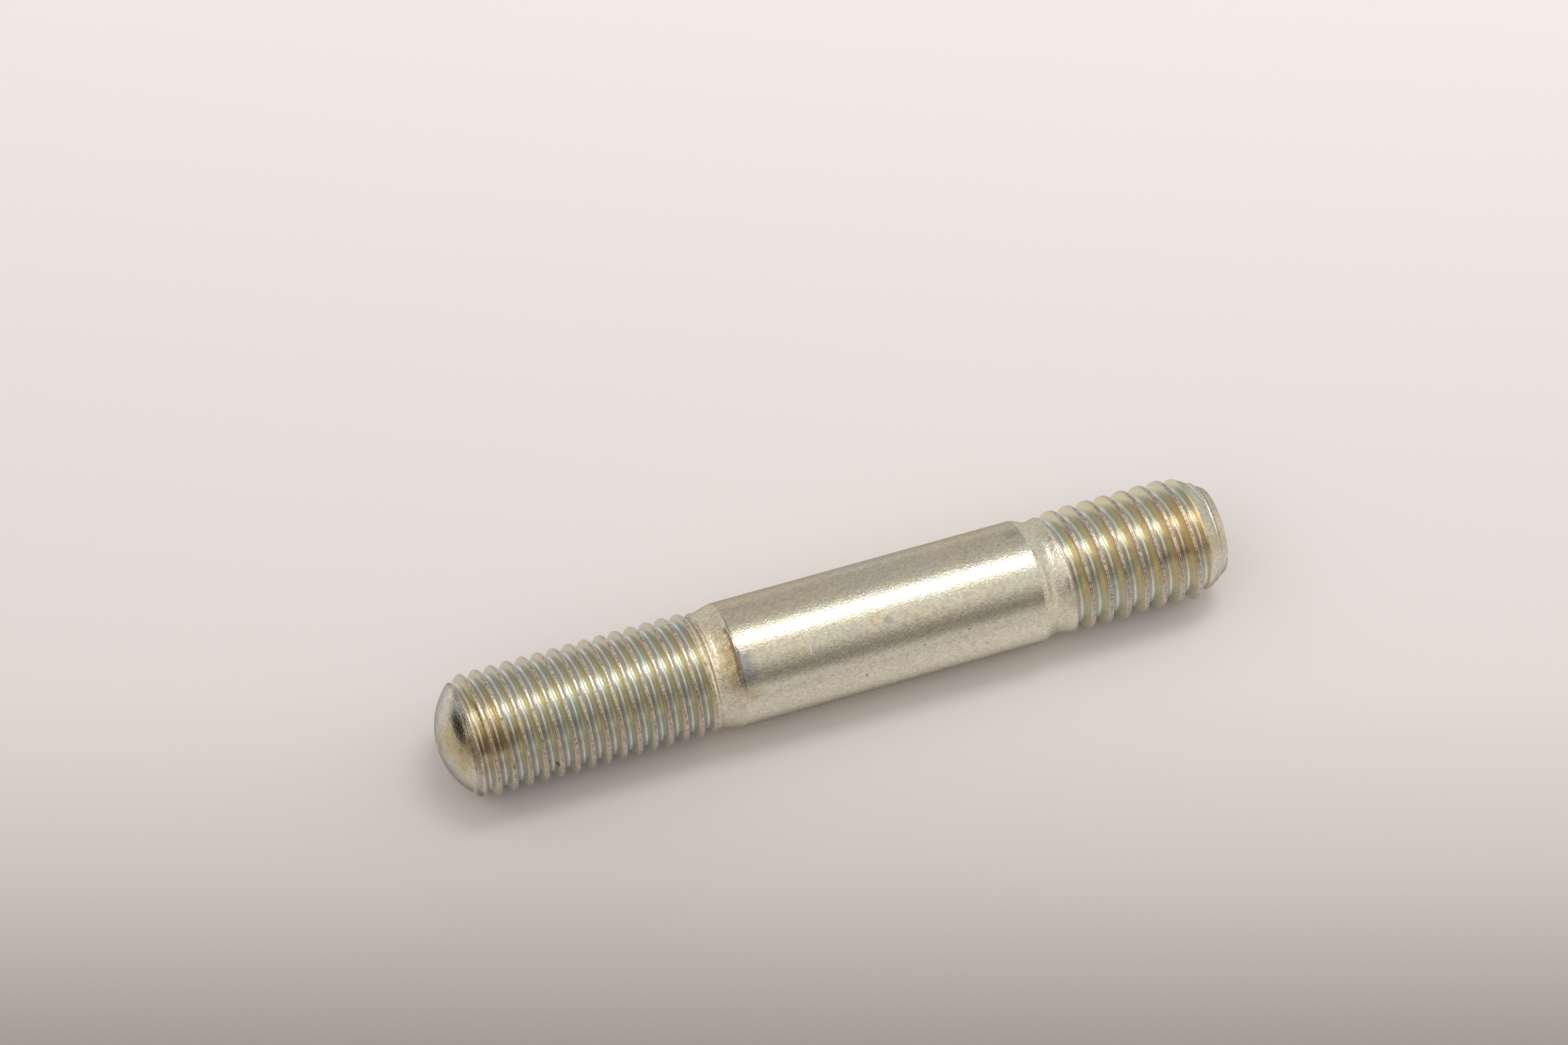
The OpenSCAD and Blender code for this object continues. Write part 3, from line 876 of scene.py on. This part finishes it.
# crest colours of the cool ramp and of the lit copy, which is painted light
COOL_CREST, LIT_SIDE_CREST, SEAM = (0.53, 0.49, 0.48), (0.56, 0.51, 0.46), (0.34, 0.28, 0.23)
fine_zinc = plated("zinc_on_fine_thread", by_phase(
    FINE, FINE_GROOVE_AT,
    across_thread(COOL_CREST, COOL_CREST, 0.055, (0.56, 0.52, 0.42),
                  ((0.66, 0.62, 0.46), (0.60, 0.63, 0.53), (0.55, 0.57, 0.50)), (0.75, 0.80, 0.79),
                  ((0.64, 0.69, 0.74), (0.48, 0.49, 0.52), (0.52, 0.52, 0.50))),
    across_thread(LIT_SIDE_CREST, LIT_SIDE_CREST, 0.055, (0.34, 0.27, 0.18),
                  ((0.62, 0.56, 0.30), (0.75, 0.71, 0.41), (0.70, 0.70, 0.56)), (0.61, 0.63, 0.62),
                  ((0.65, 0.68, 0.72), (0.44, 0.45, 0.46), (0.49, 0.48, 0.46)))), [
        (LEAST_LIT, LEAST_LIT_SHADE, 0.4),
        ((61.2, -0.22, 1.9, 4.0, 0.3, 0.6), (0.62, 0.46, 0.22), 0.45),
        # painted shadow: a dark patch over the first grooves beside the dome
        ((60.4, -0.278, 1.9, 1.0, 0.3, 0.4), (0.26, 0.20, 0.13), 0.5),
        ((55.71, -0.401, 0.12, 0.30, 0.3, 0.5), (0.08, 0.06, 0.05), 0.9),
        ((59.19, -0.357, 0.12, 0.14, 0.3, 0.5), DARK, 0.8),
        ((60.44, -0.382, 0.12, 0.14, 0.3, 0.5), BROWN, 0.8),
    ], roughness=0.28, metal=0.97, cloud=0.7, bump=0.014, speckle=0.15, crest_rough=0.02, edge=WHITE_EDGE)
coarse_zinc = plated("zinc_on_coarse_thread", by_phase(
    COARSE, COARSE_GROOVE_AT,
    across_thread(SEAM, COOL_CREST, 0.06, (0.56, 0.50, 0.40),
                  ((0.72, 0.64, 0.47), (0.72, 0.71, 0.53), (0.62, 0.61, 0.43)), (0.77, 0.82, 0.79),
                  ((0.70, 0.74, 0.78), (0.66, 0.68, 0.73), (0.52, 0.51, 0.49))),
    across_thread(SEAM, LIT_SIDE_CREST, 0.06, (0.28, 0.21, 0.14),
                  ((0.66, 0.50, 0.29), (0.82, 0.63, 0.31), (0.70, 0.61, 0.38)), (0.63, 0.67, 0.63),
                  ((0.70, 0.79, 0.88), (0.68, 0.73, 0.77), (0.52, 0.53, 0.53)))), [
        (LEAST_LIT, LEAST_LIT_SHADE, 0.4),
        ((3.4, -0.22, 1.6, 2.6, 0.3, 0.6), (0.68, 0.46, 0.22), 0.35),
        # painted shade: a dark wandering patch near the coarse end
        ((4.2, -0.290, 1.9, 0.30, 0.4, 0.7, 0.5), (0.22, 0.18, 0.12), 0.25),
    ], roughness=0.28, metal=0.97, cloud=0.7, bump=0.018, speckle=0.2, crest_rough=0.02, edge=WHITE_EDGE)

# %% [markdown]
# ## The two ends
# The dome was pressed smooth, so it mirrors the room. Its film is golden in the middle, with a dark patch
# on one side, a small dent's dark spot and a brown rim where the first turn of thread starts. The lead-in
# cone at the other end was turned, and keeps a duller surface with a bright worn ridge. Its lower side is
# paler, a painted reflection of the table.

# %% Finishes of the two ends
dome_zinc = plated("zinc_on_dome", one_colour(0.76, 0.78, 0.77), [
    ((62.7, -0.25, 0.95, 3.4, 0.4, 0.6), (0.58, 0.50, 0.28), 0.9),
    ((62.52, -0.205, 0.26, 1.4, 0.3, 0.6), (0.21, 0.20, 0.19), 0.68),
    ((62.73, -0.286, 0.18, 0.40, 0.1, 0.25), (0.36, 0.32, 0.30), 0.5),
    ((61.78, 0.0, 0.16, 999, 0.3, 0.4), (0.50, 0.45, 0.39), 0.8),
    ((61.75, -0.27, 0.3, 2.2, 0.4, 0.6), (0.36, 0.27, 0.15), 0.6),
    ((61.99, -0.26, 0.05, 5.5, 0.3, 0.6, 0.1), (0.16, 0.13, 0.10), 0.55),
], roughness=0.165, metal=0.97, cloud=1.0, bump=0.022, speckle=0.6)
lead_in_zinc = plated("zinc_on_lead_in", one_colour(0.62, 0.58, 0.48), [
    ((0.35, -0.25, 0.36, 999, 0.3, 0.6), (0.58, 0.51, 0.40), 0.7),
    ((RIDGE, 0.0, 0.07, 999, 0.4, 0.6), (0.92, 0.89, 0.82), 0.8),
    ((RIDGE - 0.16, -0.25, 0.05, 999, 0.5, 0.6, 0.1), DARK, 0.5),
    ((1.6, -0.25, 0.8, 1.8, 0.5, 0.8), (0.50, 0.44, 0.32), 0.75),
    # painted reflection of the pale table on the cone's lower side
    ((1.2, -0.37, 1.4, 1.6, 0.3, 0.5), (0.80, 0.77, 0.70), 0.8),
], roughness=0.3, metal=0.88, cloud=1.0, bump=0.045, speckle=0.7)

# %% [markdown]
# ## Which face takes which finish
# The stud is one piece of steel with one mesh, so each face is given its finish by where it lies. Level
# boundaries would cut across the threads. So the polish of the dies starts along a crest, and on the dome
# and the lead-in cone it stops at the edge of the groove.

# %% Give each face its finish
PRESSED = 0.03                              # a face this far under the outline was pressed by the dies
POLISH_EDGE = 0.43                          # where the polish starts, in turns from the root


def zone_of(face):
    """The finish that a face takes."""
    height, radius = face.center.z / MM, math.hypot(face.center.x, face.center.y) / MM
    turn = math.atan2(face.center.y, face.center.x) / (2 * math.pi)
    unrolled = radius > np.interp(height, outline_heights, outline_radii) - PRESSED
    if height > DOME_EDGE - 0.1 and unrolled:
        return DOME
    if height < LEAD_IN_TOP and unrolled or height < RIM:
        return LEAD_IN
    if height > SHANK_HIGH:
        return SHOULDER if (height - FINE_GROOVE_AT) / FINE - turn < POLISH_EDGE else FINE_THREAD
    if height > SHANK_LOW:
        return SHANK
    return SHOULDER if (height - COARSE_GROOVE_AT) / COARSE - turn > POLISH_EDGE else COARSE_THREAD


finishes = (shank_zinc, fine_zinc, coarse_zinc, dome_zinc, lead_in_zinc, shoulder_zinc)
SHANK, FINE_THREAD, COARSE_THREAD, DOME, LEAD_IN, SHOULDER = range(len(finishes))
for finish in finishes:
    stud.data.materials.append(finish)
counts = [0] * len(finishes)
for face in stud.data.polygons:
    face.material_index = zone_of(face)
    counts[face.material_index] += 1
print("faces in each finish:", counts)
